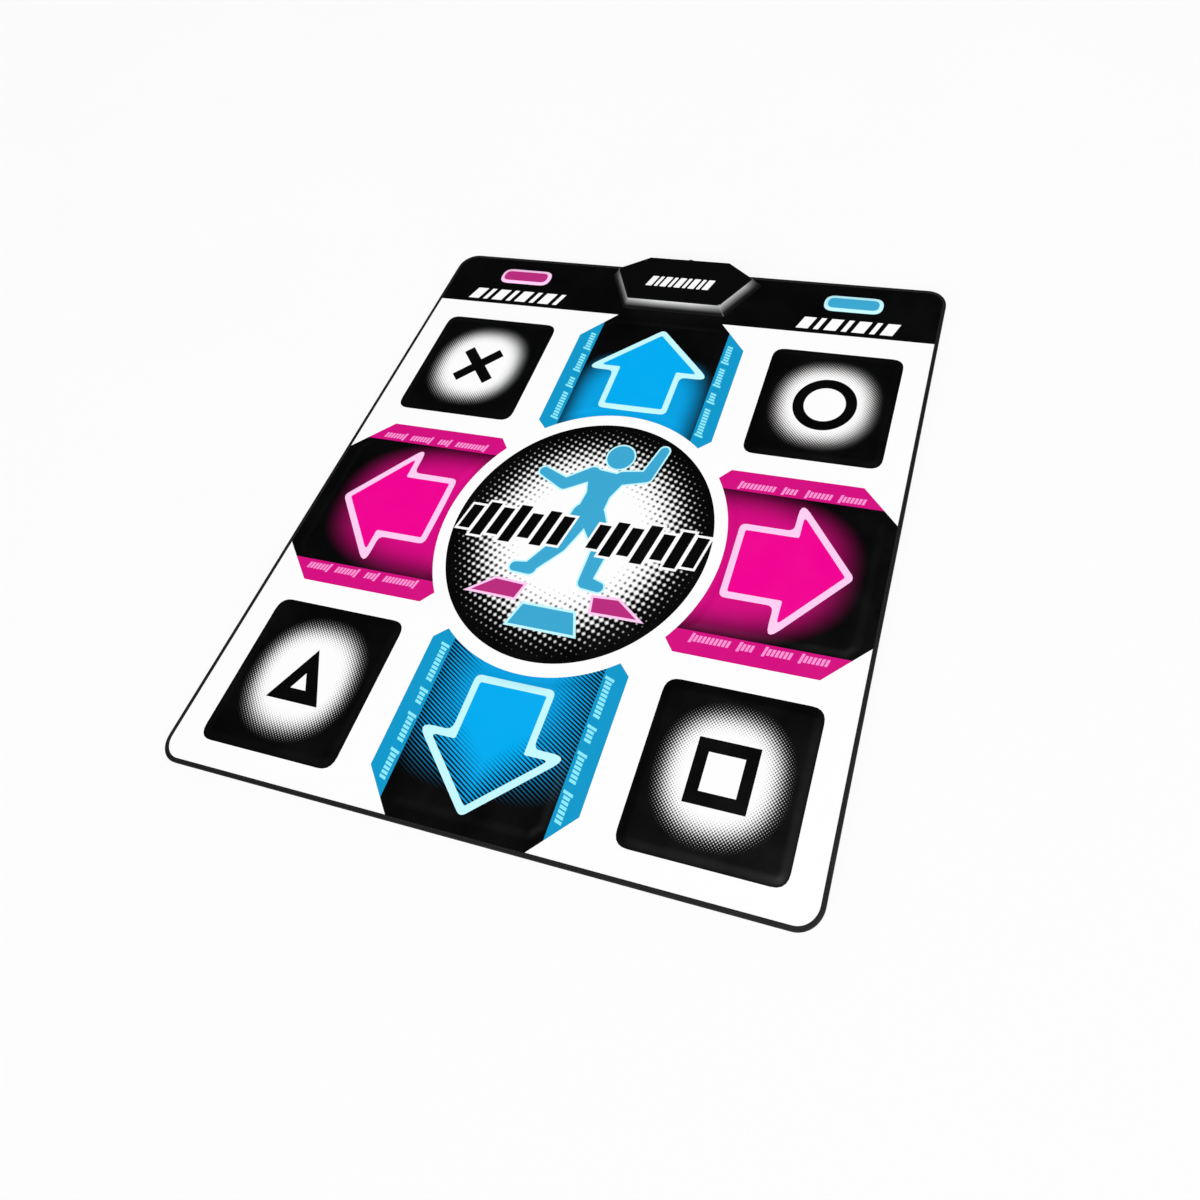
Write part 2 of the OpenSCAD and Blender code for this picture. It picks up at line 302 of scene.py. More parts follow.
def lift(points):
    """Height of the printed surface over the flat cover at plan points: zone crowns and slow waves."""
    x, y = points.T
    edge = np.minimum(HALF_W - abs(x), HALF_D - abs(y))
    by_box = np.hypot(np.maximum(abs(x) - BOX_SIDE, 0), np.maximum(BOX_FRONT - y, 0))
    calm = smooth(edge / 60) * smooth(by_box / 50)
    waves = np.sin(x / 47 + 1.7 * np.sin(y / 120)) + np.sin(y / 58 - 1.1 * np.sin(x / 90) + 2)
    z = calm * 0.07 * waves
    for zone, rim in ZONE_RIMS.items():
        held = np.flatnonzero(inside(points, rim))
        if len(held):
            z[held] += (CREST - MAT_TOP) * smooth(away(points[held], rim) / CROWN_W[zone])
    return z


def surface_normals(points):
    step = 0.5
    across = np.array([step, 0.0])
    along = np.array([0.0, step])
    dx = (lift(points + across) - lift(points - across)) / (2 * step)
    dy = (lift(points + along) - lift(points - along)) / (2 * step)
    normals = np.c_[-dx, -dy, np.ones(len(points))]
    return normals / np.linalg.norm(normals, axis=1)[:, None]


# ---- The print: every patch of ink, painted in order, later over earlier ----

PATCHES = []


def paint(piece, ink, outline):
    """Adds a patch of ink to a piece of the cover."""
    PATCHES.append((piece, ink, np.array(outline, float)))


def leaning(x, y, width, height, lean=0.22):
    """An upright bar that leans to the right."""
    shift = height * lean / 2
    return np.array([(x - shift, y - height / 2), (x + width - shift, y - height / 2),
                     (x + width + shift, y + height / 2), (x + shift, y + height / 2)])


def limb(start, end, start_r, end_r):
    """The outline round two circles."""
    start, end = np.array(start, float), np.array(end, float)
    heading = math.degrees(math.atan2(*(end - start)[::-1]))
    return np.concatenate([arc(start, start_r, heading + 90, heading + 270, 20),
                           arc(end, end_r, heading - 90, heading + 90, 20)])


def paint_arrow(arrow):
    pad = arrow + "_pad"
    tone = "cyan" if arrow in ("up", "down") else "magenta"
    for side in (-1, 1):
        paint("cover_sheet", "strip_" + tone, strip_outline(arrow, side))
        for start, end in TICK_GROUPS:
            for i, place in enumerate(np.arange(start, end - 2, TICK_PITCH)):
                height = 9 if i else 13
                tick = leaning(TICKS_START[arrow] + place, 114 * side, 3.6, height, 0.3)
                paint("cover_sheet", "dash_" + tone, turned(tick, arrow))
    paint(pad, arrow + "_field", field_outline(arrow))
    paint(pad, "light_" + tone, turned(rounded(grown(ARROW_SHAPE, ARROW_LINE / 2), 9), arrow))
    paint(pad, arrow + "_fill", turned(rounded(grown(ARROW_SHAPE, -ARROW_LINE / 2), 3), arrow))


def paint_square(zone):
    pad = zone + "_pad"
    centre = middle(zone + "_panel_skin")[:2]
    paint(pad, zone + "_glow", ZONE_RIMS[zone])
    if zone == "cross":
        for lean in (1, -1):
            start, end = np.array([(-29, -29 * lean), (29, 29 * lean)])
            across = np.array([-lean, 1]) * 8.5 / math.sqrt(2)
            arm = np.array([start - across, end - across, end + across, start + across])
            paint(pad, "black", centre + arm)
    elif zone == "ring":
        paint(pad, "black", circle(centre, 46, 5))
        paint(pad, zone + "_glow", circle(centre, 30, 6))
    elif zone == "triangle":
        paint(pad, "black", centre + np.array([(0, 39), (-38.5, -31.5), (38.5, -31.5)]))
        paint(pad, zone + "_glow", centre + np.array([(0, 6.6), (-11.3, -14.9), (11.3, -14.9)]))
    else:
        paint(pad, "black", rectangle(centre - 37, centre + 37))
        paint(pad, zone + "_glow", rectangle(centre - 22, centre + 22))


def paint_button(zone):
    tone = "magenta" if zone == "select" else "cyan"
    paint(zone + "_pad", "light_" + tone, ZONE_RIMS[zone])
    rim = 6
    low, high = ZONE_RIMS[zone].min(0) + rim, ZONE_RIMS[zone].max(0) - rim
    paint(zone + "_pad", "soft_" + tone, rectangle(low, high, (high[1] - low[1]) / 2 - 0.1))


def paint_dancer():
    """A plain sign of a dancing figure: one arm up, one arm out, feet wide apart."""
    head = circle((14, 76), 20, 15)
    trunk = rounded([(-26, 52), (38, 46), (21, 8), (19, -30), (-19, -28), (-14, 12)], 8, 3)
    right_arm = [((28, 42), (62, 50), 11, 9), ((62, 50), (74, 96), 9, 7)]
    left_arm = [((-17, 43), (-52, 20), 11, 9), ((-52, 20), (-90, 36), 9, 7)]
    right_leg = [((8, -24), (38, -68), 17, 12), ((38, -68), (34, -118), 12, 9),
                 ((34, -122), (55, -126), 9, 7)]
    left_leg = [((-6, -22), (-22, -76), 17, 12), ((-22, -76), (-48, -112), 12, 9),
                ((-48, -116), (-70, -117), 9, 7)]
    limbs = right_arm + left_arm + right_leg + left_leg
    shapes = [head, trunk] + [limb(*sizes) for sizes in limbs]
    for shape in shapes:
        paint("cover_sheet", "light_cyan", grown(shape, 2.5))
    for shape in shapes:
        paint("cover_sheet", "soft_cyan", shape)


def paint_tiles():
    tiles = [("magenta", [(-116, -160), (-88, -139), (-46, -141), (-52, -161)]),
             ("magenta", [(58, -161), (54, -141), (88, -139), (120, -160)]),
             ("cyan", [(-46, -196), (-36, -167), (36, -167), (47, -196)])]
    for tone, corners in tiles:
        paint("cover_sheet", "light_" + tone, grown(corners, 3.5))
        paint("cover_sheet", "soft_" + tone, corners)


def paint_level_bars():
    """Two groups of leaning bars of different heights, like a sound meter, across the middle of the disc."""
    heights = [38, 54, 44, 60, 40, 56, 46]
    pitch, width = 23, 17
    bars = []
    for start in (-174, 20):
        for i, height in enumerate(heights):
            bars.append(leaning(start + pitch * i, -54, width, height))
    for bar in bars:
        paint("cover_sheet", "white", grown(bar, 3.5))
    for bar in bars:
        paint("cover_sheet", "black", bar)


def paint_header():
    """The black band along the back, with a row of leaning bars under each push zone."""
    paint("cover_sheet", "black", rectangle((-COVER_X - 5, HEADER_Y), (COVER_X + 5, COVER_Y + 5)))
    gap = 8
    for x, count in ((-362, 8), (208, 7)):
        for i in range(count):
            width = 19 if i % 2 == 0 else 8
            paint("cover_sheet", "white", leaning(x, 366, width, 24, 0.4))
            x += width + gap


paint("cover_sheet", "white", mat_outline(HALF_W - COVER_X))
paint_header()
for arrow in ARROWS:
    paint_arrow(arrow)
for square in SQUARES:
    paint_square(square)
for button in BUTTONS:
    paint_button(button)
paint("cover_sheet", "white", circle((0, CENTRE_Y), RING_R, 2))
paint("disc_print", "disc", circle((0, CENTRE_Y), DISC_R, 2))
paint_tiles()
paint_dancer()
paint_level_bars()


# ---- Meshes ----

def make_mesh(name, points, faces, materials, slots=None, normals=None):
    """A new object from points in millimetres. slots has a material index for each face."""
    mesh = bpy.data.meshes.new(name)
    mesh.from_pydata(np.array(points, float) * MM, [], [tuple(map(int, face)) for face in faces])
    for material in materials:
        mesh.materials.append(material)
    if slots is not None:
        mesh.polygons.foreach_set("material_index", np.array(slots, np.int32))
    mesh.polygons.foreach_set("use_smooth", np.ones(len(mesh.polygons), bool))
    mesh.update()
    if normals is not None:
        mesh.normals_split_custom_set(normals)
    made = bpy.data.objects.new(name, mesh)
    bpy.context.scene.collection.objects.link(made)
    return made


def triangulated(outlines, free_points):
    """Points and triangles of a flat region crossed by outlines, every one of which is kept as edges."""
    clearance = 2.6
    points, edges = [], []
    for outline in outlines:
        first = len(points)
        points += list(outline)
        edges += [(first + i, first + (i + 1) % len(outline)) for i in range(len(outline))]
    tree = KDTree(len(points))
    for i, (x, y) in enumerate(points):
        tree.insert((x, y, 0), i)
    tree.balance()
    for x, y in free_points:
        if tree.find((x, y, 0))[2] > clearance:
            points.append((x, y))
    made = delaunay_2d_cdt([Vector(p) for p in points], edges, [], 0, 1e-4, False)
    return np.array([tuple(p) for p in made[0]]), np.array(made[2])


def facing_up(plan, triangles):
    """The triangles all turned the same way, their middles, and which of them have any area."""
    a, b, c = (plan[triangles[:, i]] for i in range(3))
    twice = (b - a)[:, 0] * (c - a)[:, 1] - (b - a)[:, 1] * (c - a)[:, 0]
    triangles[twice < 0] = triangles[twice < 0][:, ::-1]
    return triangles, (a + b + c) / 3, abs(twice) > 1e-6


def rim_of(triangles):
    """The edges that only one triangle has, as pairs in that triangle's order."""
    edges = np.concatenate([triangles[:, [0, 1]], triangles[:, [1, 2]], triangles[:, [2, 0]]])
    here = {(int(a), int(b)) for a, b in edges}
    return sorted((a, b) for a, b in here if (b, a) not in here)


def slab(plan, triangles, heights, floor):
    """A solid from some of a plan's triangles, each point at its own height, down to a flat floor.

    Gives its points, its faces, the plan points in use, their triangles and the rim's edges. The faces are the
    triangles above, the same ones turned over below, and walls round the rim.
    """
    used, triangles = np.unique(triangles, return_inverse=True)
    triangles = triangles.reshape(-1, 3)
    plan = plan[used]
    count = len(plan)
    rim = rim_of(triangles)
    walls = [(b, a, a + count, b + count) for a, b in rim]
    faces = [tuple(t) for t in triangles] + [tuple(t[::-1] + count) for t in triangles] + walls
    points = np.concatenate([np.c_[plan, heights[used]], np.c_[plan, np.full(count, floor)]])
    return points, faces, plan, triangles, rim


def closed_sheet(name, plan, triangles, heights, inks, materials, back):
    """A closed solid from part of the printed surface down to the underside of the cover."""
    points, faces, plan, triangles, rim = slab(plan, triangles, heights, COVER_FLOOR)
    names = sorted(set(inks))
    slots = [names.index(ink) for ink in inks] + [len(names)] * (len(triangles) + len(rim))
    up = surface_normals(plan)
    normals = [up[i] for t in triangles for i in t] + [(0, 0, -1)] * (3 * len(triangles))
    for a, b in rim:
        x, y = plan[b] - plan[a]
        normals += [(y, -x, 0) / np.hypot(x, y)] * 4
    used_materials = [materials[ink] for ink in names] + [back]
    return make_mesh(name, points, faces, used_materials, slots, normals)


def print_pieces(materials, back):
    """Every piece of the printed surface, as name to object."""
    edge = PATCHES[0][2]
    outlines = [spaced(edge, 6), spaced(notch_outline(), 6)]
    for rim in ZONE_RIMS.values():
        outlines.append(spaced(rim, 5))
    keep_in = edge.max(0) - 0.01
    for _, _, outline in PATCHES[1:]:
        outlines.append(spaced(np.clip(outline, -keep_in, keep_in), 6))
    free = [(x, y) for x in np.arange(-415, 416, 10.0) for y in np.arange(-450, 450, 10.0)]
    for zone, rim in ZONE_RIMS.items():
        width = CROWN_W[zone]
        for share in (0.15, 0.3, 0.5, 0.7, 0.85, 1.0):
            free += list(spaced(grown(rim, -width * share), 6))
    plan, triangles = triangulated(outlines, free)
    triangles, centres, solid = facing_up(plan, triangles)
    patch = np.full(len(triangles), -1)
    for i, (_, _, outline) in enumerate(PATCHES):
        patch[inside(centres, outline)] = i
    patch[~inside(centres, edge) | inside(centres, notch_outline()) | ~solid] = -1
    heights = MAT_TOP + lift(plan)
    made = {}
    for piece in dict.fromkeys(p for p, _, _ in PATCHES):
        chosen = [i for i in range(len(triangles)) if patch[i] >= 0 and PATCHES[patch[i]][0] == piece]
        inks = [PATCHES[patch[i]][1] for i in chosen]
        made[piece] = closed_sheet(piece, plan, triangles[chosen], heights, inks, materials, back)
    return made


# ---- Binding, stitches and backing ----

STITCH_PITCH = 4.8
SEAM_INSET = HALF_W - box_mm("binding_stitching")[1][0] + 0.4
BINDING_W = SEAM_INSET + 1.5
TAPE_STEPS = 3


def edge_path(step):
    """Points round the mat's edge from one side of the box to the other, and the inward direction at each."""
    meets_box = 98
    line = [np.array([(-meets_box, HALF_D)])]
    x, y = HALF_W - CORNER_R, HALF_D - CORNER_R
    for sx, sy, start in ((-1, 1, 90), (-1, -1, 180), (1, -1, 270), (1, 1, 360)):
        line.append(arc((sx * x, sy * y), CORNER_R, start, start + 90, 3))
    line = np.concatenate(line + [np.array([(meets_box, HALF_D)])])
    far = np.r_[0, np.cumsum(np.linalg.norm(np.diff(line, axis=0), axis=1))]
    count = int(far[-1] / step)
    at = np.linspace(0, far[-1], count + 1)
    points = np.c_[np.interp(at, far, line[:, 0]), np.interp(at, far, line[:, 1])]
    along = np.gradient(points, axis=0)
    along /= np.linalg.norm(along, axis=1)[:, None]
    return points, np.c_[-along[:, 1], along[:, 0]]


def lofted(rings, closed=False):
    """Points and faces of a skin over rings of equal length, capped at both ends or closed on itself."""
    count, size = len(rings), len(rings[0])
    points = np.concatenate([np.array(ring, float) for ring in rings])
    faces = []
    for i in range(count if closed else count - 1):
        here, there = i * size, (i + 1) % count * size
        for k in range(size):
            n = (k + 1) % size
            faces.append((here + k, here + n, there + n, there + k))
    if not closed:
        faces.append(tuple(range(size))[::-1])
        faces.append(tuple(range((count - 1) * size, count * size)))
    return points, faces


def merged(parts):
    """Several lots of points and faces as one."""
    points, faces = [], []
    for more_points, more_faces in parts:
        first = sum(len(lot) for lot in points)
        points.append(np.array(more_points, float))
        faces += [tuple(first + i for i in face) for face in more_faces]
    return np.concatenate(points), faces


def binding(material):
    """Tape folded round the edge, drawn down a little at every stitch."""
    w, top = BINDING_W, BINDING_TOP
    profile = [(w, MAT_TOP + 0.05), (w, top - 0.15), (w - 0.3, top - 0.02), (SEAM_INSET, top), (1.4, top),
               (0.8, top - 0.1), (0.2, top - 0.55), (0.0, top - 1.3), (0.0, 1.2), (0.2, 0.45), (0.8, 0.08),
               (1.6, 0.0), (w - 0.3, 0.0), (w, 0.15), (w, 0.6), (w - 0.3, BACKING_TOP), (1.3, BACKING_TOP),
               (0.8, 1.4), (0.8, MAT_TOP - 0.6), (1.3, MAT_TOP), (w - 0.3, MAT_TOP)]
    seam = profile.index((SEAM_INSET, top))
    pull = 0.22
    places, inward = edge_path(STITCH_PITCH / TAPE_STEPS)
    rings = []
    for i, (place, way) in enumerate(zip(places, inward)):
        depth = pull if i % TAPE_STEPS == 0 else pull / 4
        ring = [(*(place + way * inset), z) for inset, z in profile]
        ring[seam] = (*ring[seam][:2], top - depth)
        rings.append(ring)
    points, faces = lofted(rings)
    return make_mesh("binding_tape", points, faces, [material])


def stitches(material):
    """Short lengths of thread along the binding, dipping into the tape at their ends."""
    steps, covered = 6, 4.2
    places, inward = edge_path(STITCH_PITCH / steps)
    seam = places + inward * SEAM_INSET
    sides = np.radians(np.arange(0, 360, 60))
    parts = []
    for first in range(1, len(seam) - steps, steps):
        rings = []
        for share in (0.0, 0.25, 0.5, 0.75, 1.0):
            at = first + covered * share
            low, part = int(at), at - int(at)
            centre = seam[low] * (1 - part) + seam[low + 1] * part
            arch = math.sin(math.pi * share)
            width, height = 0.16 + 0.22 * arch, 0.1 + 0.12 * arch
            way = inward[low]
            z = BINDING_TOP - 0.2 + 0.22 * arch
            rings.append([(*(centre + way * width * math.cos(a)), z + height * math.sin(a)) for a in sides])
        parts.append(lofted(rings))
    points, faces = merged(parts)
    return make_mesh("binding_stitches", points, faces, [material])


def upright_rings(x, y, levels, step):
    """Rings round an upright line, one for each radius and height."""
    angles = np.radians(np.arange(0, 360, step))
    return [[(x + r * math.cos(a), y + r * math.sin(a), z) for a in angles] for r, z in levels]


def backing(material):
    """A thin sheet with rows of small domes underneath, which stand on the floor."""
    underside = 0.35
    edge = mat_outline(HALF_W - BACKING_X)
    notch = notch_outline()
    free = [(x, y) for x in np.arange(-390, 400, 60.0) for y in np.arange(-420, 430, 60.0)]
    plan, triangles = triangulated([spaced(edge, 20), spaced(notch, 20)], free)
    triangles, centres, solid = facing_up(plan, triangles)
    triangles = triangles[inside(centres, edge) & ~inside(centres, notch) & solid]
    sheet = slab(plan, triangles, np.full(len(plan), BACKING_TOP), underside)[:2]
    pitch = 18
    rows = np.arange(-BACKING_Y + 12, BACKING_Y - 12, pitch * math.sqrt(0.75))
    spots = np.array([(x + pitch / 2 * (i % 2), y) for i, y in enumerate(rows)
                      for x in np.arange(-BACKING_X + 12, BACKING_X - 14, pitch)])
    room = 7
    clear = (away(spots, edge) > room) & (away(spots, notch) > room)
    clear &= inside(spots, edge) & ~inside(spots, notch)
    dome = [(2.7, underside + 0.1), (2.5, 0.16), (1.9, 0.0)]
    parts = [sheet]
    for x, y in spots[clear]:
        parts.append(lofted([ring[::-1] for ring in upright_rings(x, y, dome, 45)]))
    points, faces = merged(parts)
    return make_mesh("non_slip_backing", points, faces, [material])


# ---- The control box ----

def box_ring(z, inset=0.0):
    """The box's outline at height z: slanted sides that are a little hollow, and rounded corners."""
    hollow = 0.35
    share = (z - MAT_TOP) / (BOX_TOP - MAT_TOP)
    share *= 1 + hollow - hollow * share
    corners = hexagon(BEVEL_FRONT * share + inset, BEVEL_SIDE * share + inset, BEVEL_BACK * share + inset)
    return [(x, y, z) for x, y in rounded(corners, 4)]


def box_shell(gloss, highlight_paint):
    """The upper shell of the box, hollow, with four screw posts and a hole for the cable grommet."""
    edge_r = 1.3
    inner = [box_ring(BOX_TOP - BOX_WALL, BOX_WALL), box_ring(MAT_TOP + 0.02, BOX_WALL)]
    inner.append(box_ring(MAT_TOP, 0.5))
    outer = [box_ring(MAT_TOP + 0.4)]
    outer += [box_ring(z) for z in np.linspace(MAT_TOP + 1.5, BOX_TOP - edge_r, 9)]
    edge = []
    for angle in np.radians((22, 45, 68, 90)):
        edge.append(box_ring(BOX_TOP - edge_r * (1 - math.sin(angle)), edge_r * (1 - math.cos(angle))))
    size = len(inner[0])
    sloped = range(len(inner) * size, (len(inner) + len(outer) - 1) * size)
    parts = [lofted(inner + outer + edge)]
    post_top = BOX_TOP - 1.8
    levels = [(POST_R, MAT_TOP), (POST_R, post_top), (PILOT_R, post_top), (PILOT_R, MAT_TOP)]
    for side in (1, -1):
        for x, y in SCREW_POSTS:
            parts.append(lofted(upright_rings(side * x, y, levels, 15), closed=True))
    points, faces = merged(parts)
    # The slanted faces get the second material, which carries a painted highlight under the top edge
    slots = [1 if i in sloped else 0 for i in range(len(faces))]
    shell = make_mesh("box_shell", points, faces, [gloss, highlight_paint], slots)
    x, _, z = middle("cable_grommet")
    sides = np.radians(np.arange(0, 360, 15))
    bore = [[(x + GROMMET_R * math.cos(a), y, z + GROMMET_R * math.sin(a)) for a in sides]
            for y in (BOX_BACK - 9, BOX_BACK + 9)]
    cutter = make_mesh("cutter", *lofted(bore), [gloss])
    cut = shell.modifiers.new("bore", "BOOLEAN")
    cut.operation = "DIFFERENCE"
    cut.object = cutter
    cut.solver = "EXACT"
    bpy.context.view_layer.update()
    seen = shell.evaluated_get(bpy.context.evaluated_depsgraph_get())
    shell.data = bpy.data.meshes.new_from_object(seen)
    shell.modifiers.clear()
    bpy.data.objects.remove(cutter)
    even = shell.modifiers.new("even_shading", "WEIGHTED_NORMAL")
    even.weight = 80
    return shell


def box_label(material):
    """Leaning white bars on the box's top face, where a label would be."""
    thickness = 0.08
    gap = 4
    parts = []
    x = -53
    for i in range(9):
        width = 10.5 if i % 2 == 0 else 5.5
        outline = rounded(leaning(x, 412.5, width, 22, 0.35), 1.2, 2)
        low = [(*p, BOX_TOP - thickness) for p in outline]
        high = [(*p, BOX_TOP + thickness) for p in outline]
        parts.append(lofted([low, high]))
        x += width + gap
    points, faces = merged(parts)
    label = make_mesh("box_label", points, faces, [material])
    label.data.polygons.foreach_set("use_smooth", np.zeros(len(label.data.polygons), bool))
    return label


def face_outwards(piece):
    """Turns a closed mesh's faces to point outwards."""
    shape = bmesh.new()
    shape.from_mesh(piece.data)
    bmesh.ops.recalc_face_normals(shape, faces=shape.faces)
    shape.to_mesh(piece.data)
    shape.free()


# ---- Materials ----

def linear(r, g, b):
    """A screen colour from 0 to 255 as the linear colour that a shader takes."""
    return tuple(c / 255 / 12.92 if c < 11 else ((c / 255 + 0.055) / 1.055) ** 2.4 for c in (r, g, b)) + (1,)


WHITE = linear(252, 252, 252)
BLACK = linear(3, 3, 4)
CYAN = linear(0, 171, 240)
FIELD_INKS = {"cyan": linear(5, 160, 225), "magenta": linear(212, 8, 128)}
INKS = {
    "white": WHITE, "black": BLACK, "cyan": CYAN, "magenta": linear(240, 0, 145),
    "strip_cyan": linear(16, 152, 203), "strip_magenta": linear(212, 14, 128),
    "soft_cyan": linear(60, 168, 210), "soft_magenta": linear(185, 45, 125),
    "light_cyan": linear(196, 248, 255), "light_magenta": linear(255, 205, 242),
    "dash_cyan": linear(140, 235, 252), "dash_magenta": linear(255, 150, 215),
}


class Recipe:
    """A material and short ways to add nodes to it."""

    def __init__(self, name, colour, roughness, **inputs):
        self.material = bpy.data.materials.new(name)
        self.material.use_nodes = True
        self.material.diffuse_color = colour
        self.nodes = self.material.node_tree.nodes
        self.links = self.material.node_tree.links
        self.shader = self.nodes["Principled BSDF"]
        self.shader.inputs["Base Color"].default_value = colour
        self.shader.inputs["Roughness"].default_value = roughness
        for key, value in inputs.items():
            self.shader.inputs[key.replace("_", " ")].default_value = value
        self.place = self.add("ShaderNodeTexCoord").outputs["Object"]

    def add(self, kind, inputs=(), **settings):
        node = self.nodes.new(kind)
        for key, value in settings.items():
            setattr(node, key, value)
        for key, value in dict(inputs).items():
            if isinstance(value, bpy.types.NodeSocket):
                self.links.new(value, node.inputs[key])
            else:
                node.inputs[key].default_value = value
        return node

    def math(self, operation, *values, clamp=False):
        node = self.add("ShaderNodeMath", enumerate(values), operation=operation, use_clamp=clamp)
        return node.outputs[0]

    def axes(self):
        """The x, y and z of the place on the object, in metres."""
        return self.add("ShaderNodeSeparateXYZ", {0: self.place}).outputs

    def noise(self, scale, detail, roughness=0.5):
        inputs = {"Vector": self.place, "Scale": scale, "Detail": detail, "Roughness": roughness}
        return self.add("ShaderNodeTexNoise", inputs).outputs[0]

    def ramp(self, value, low, high, to_low=0.0, to_high=1.0, smoother=False):
        """value from low..high to to_low..to_high, held at both ends."""
        inputs = {0: value, 1: low, 2: high, 3: to_low, 4: to_high}
        kind = "SMOOTHSTEP" if smoother else "LINEAR"
        return self.add("ShaderNodeMapRange", inputs, interpolation_type=kind).outputs[0]

    def mix(self, factor, a, b):
        node = self.add("ShaderNodeMix", {0: factor, 6: a, 7: b}, data_type="RGBA")
        return node.outputs[2]

    def set(self, key, socket):
        self.links.new(socket, self.shader.inputs[key])

    def bump(self, height, distance, strength):
        """Raises the surface by height times distance, over any bump that is there already."""
        inputs = {"Height": height, "Distance": distance, "Strength": strength}
        linked = self.shader.inputs["Normal"].links
        if linked:
            inputs["Normal"] = linked[0].from_socket
        self.set("Normal", self.add("ShaderNodeBump", inputs).outputs[0])


def vinyl(name, colour):
    """Soft PVC with a fine pressed grain, a little smoother where it is rubbed."""
    recipe = Recipe(name, colour, 0.36, Specular_IOR_Level=0.22)
    recipe.set("Roughness", recipe.ramp(recipe.noise(14, 4, 0.6), 0.3, 0.7, 0.30, 0.46))
    cells = recipe.add("ShaderNodeTexVoronoi", {"Vector": recipe.place, "Scale": 620.0}).outputs["Distance"]
    recipe.bump(cells, 0.00005, 0.5)
    recipe.bump(recipe.noise(90, 3), 0.00012, 0.5)
    return recipe


def dots(recipe, pitch, angle=45):
    """A grid of dots: 0 at the middle of each dot, 1 between them."""
    inputs = {"Vector": recipe.place, "Angle": math.radians(angle)}
    turned_place = recipe.add("ShaderNodeVectorRotate", inputs, rotation_type="Z_AXIS").outputs[0]
    parts = recipe.add("ShaderNodeSeparateXYZ", {0: turned_place}).outputs
    turns = 2 * math.pi / (pitch * MM)
    waves = [recipe.math("COSINE", recipe.math("MULTIPLY", parts[i], turns)) for i in (0, 1)]
    return recipe.math("MULTIPLY_ADD", recipe.math("ADD", *waves), 0.25, 0.5)


def inked(recipe, paper, ink, cover, screen, sharpness):
    """Ink printed through a screen of dots or lines, where cover goes from 0, none, to 1, solid."""
    level = recipe.math("MULTIPLY_ADD", cover, 1 + 1 / sharpness, -0.5 / sharpness)
    edge = recipe.math("SUBTRACT", level, screen)
    share = recipe.math("MULTIPLY_ADD", edge, sharpness, 0.5, clamp=True)
    return recipe.mix(share, paper, ink)


def from_centre(recipe, centre, squareness=2.0):
    """Distance from a plan point, in metres. A higher squareness gives squarer rings."""
    parts = recipe.axes()
    powers = []
    for i in (0, 1):
        offset = recipe.math("ABSOLUTE", recipe.math("SUBTRACT", parts[i], centre[i] * MM))
        powers.append(recipe.math("POWER", recipe.math("MULTIPLY", offset, 10.0), squareness))
    total = recipe.math("POWER", recipe.math("ADD", *powers), 1 / squareness)
    return recipe.math("MULTIPLY", total, 0.1)


def glow_print(zone):
    """A white glow in the middle of a black square, through a fine screen of dots."""
    recipe = vinyl(zone + "_glow_print", BLACK)
    glow_r, black_r = 0.042, 0.0835
    reach = from_centre(recipe, middle(zone + "_panel_skin"), 2.3)
    cover = recipe.ramp(reach, glow_r, black_r)
    recipe.set("Base Color", inked(recipe, WHITE, BLACK, cover, dots(recipe, 3.0), 1.6))
    return recipe.material


def disc_material():
    """A black disc whose ink breaks up into dots towards a white middle."""
    recipe = vinyl("disc_halftone_print", BLACK)
    white_r, black_r = 0.078, 0.179
    reach = from_centre(recipe, (0, CENTRE_Y))
    cover = recipe.ramp(reach, white_r, black_r)
    recipe.set("Base Color", inked(recipe, WHITE, BLACK, cover, dots(recipe, 8.7, 17), 2.2))
    return recipe.material


def arrow_places(recipe, arrow):
    """How far out from the centre point, and how far across from the arrow's middle, in metres."""
    parts = recipe.axes()
    y = recipe.math("SUBTRACT", parts[1], CENTRE_Y * MM)
    out, across = (parts[0], y) if arrow in ("left", "right") else (y, parts[0])
    if arrow in ("left", "down"):
        out = recipe.math("MULTIPLY", out, -1.0)
    return out, recipe.math("ABSOLUTE", across)


def field_print(arrow, tone):
    """An arrow's field: its colour near the ring, falling to black outwards and beside the strips."""
    recipe = vinyl(arrow + "_field_print", tone)
    out, across = arrow_places(recipe, arrow)
    start, half_width = 0.195, 0.112
    length, squareness = (0.19, 2.6) if arrow in ("left", "right") else (0.13, 4.0)
    along = recipe.ramp(out, start, start + 2 * length, 0.0, 2.0)
    sides = recipe.math("DIVIDE", across, half_width)
    powers = [recipe.math("POWER", part, squareness) for part in (along, sides)]
    reach = recipe.math("POWER", recipe.math("ADD", *powers), 1 / squareness)
    if arrow == "down":
        dark = recipe.ramp(reach, 0.36, 1.22)
        recipe.set("Base Color", inked(recipe, tone, BLACK, dark, hatch(recipe), 2.0))
    else:
        dark_from = 0.6 if arrow == "up" else 0.54
        dark = recipe.ramp(reach, dark_from, 1.03, smoother=True)
        recipe.set("Base Color", recipe.mix(dark, tone, BLACK))
    return recipe.material


def hatch(recipe):
    """Slanting lines: 0 at the middle of each line, 1 between them."""
    pitch = 4.4
    parts = recipe.axes()
    across = recipe.math("ADD", recipe.math("MULTIPLY", parts[0], 0.5), parts[1])
    wave = recipe.math("COSINE", recipe.math("MULTIPLY", across, 2 * math.pi / (pitch * MM)))
    return recipe.math("MULTIPLY_ADD", wave, 0.5, 0.5)


def hatched_fill(arrow, tone):
    """The inside of the front arrow, hatched towards its point."""
    recipe = vinyl(arrow + "_fill_print", tone)
    out, across = arrow_places(recipe, arrow)
    reach = recipe.math("MULTIPLY_ADD", across, 0.9, out)
    cover = recipe.ramp(reach, 0.305, 0.385, 0.0, 0.85)
    recipe.set("Base Color", inked(recipe, tone, BLACK, cover, hatch(recipe), 2.0))
    return recipe.material


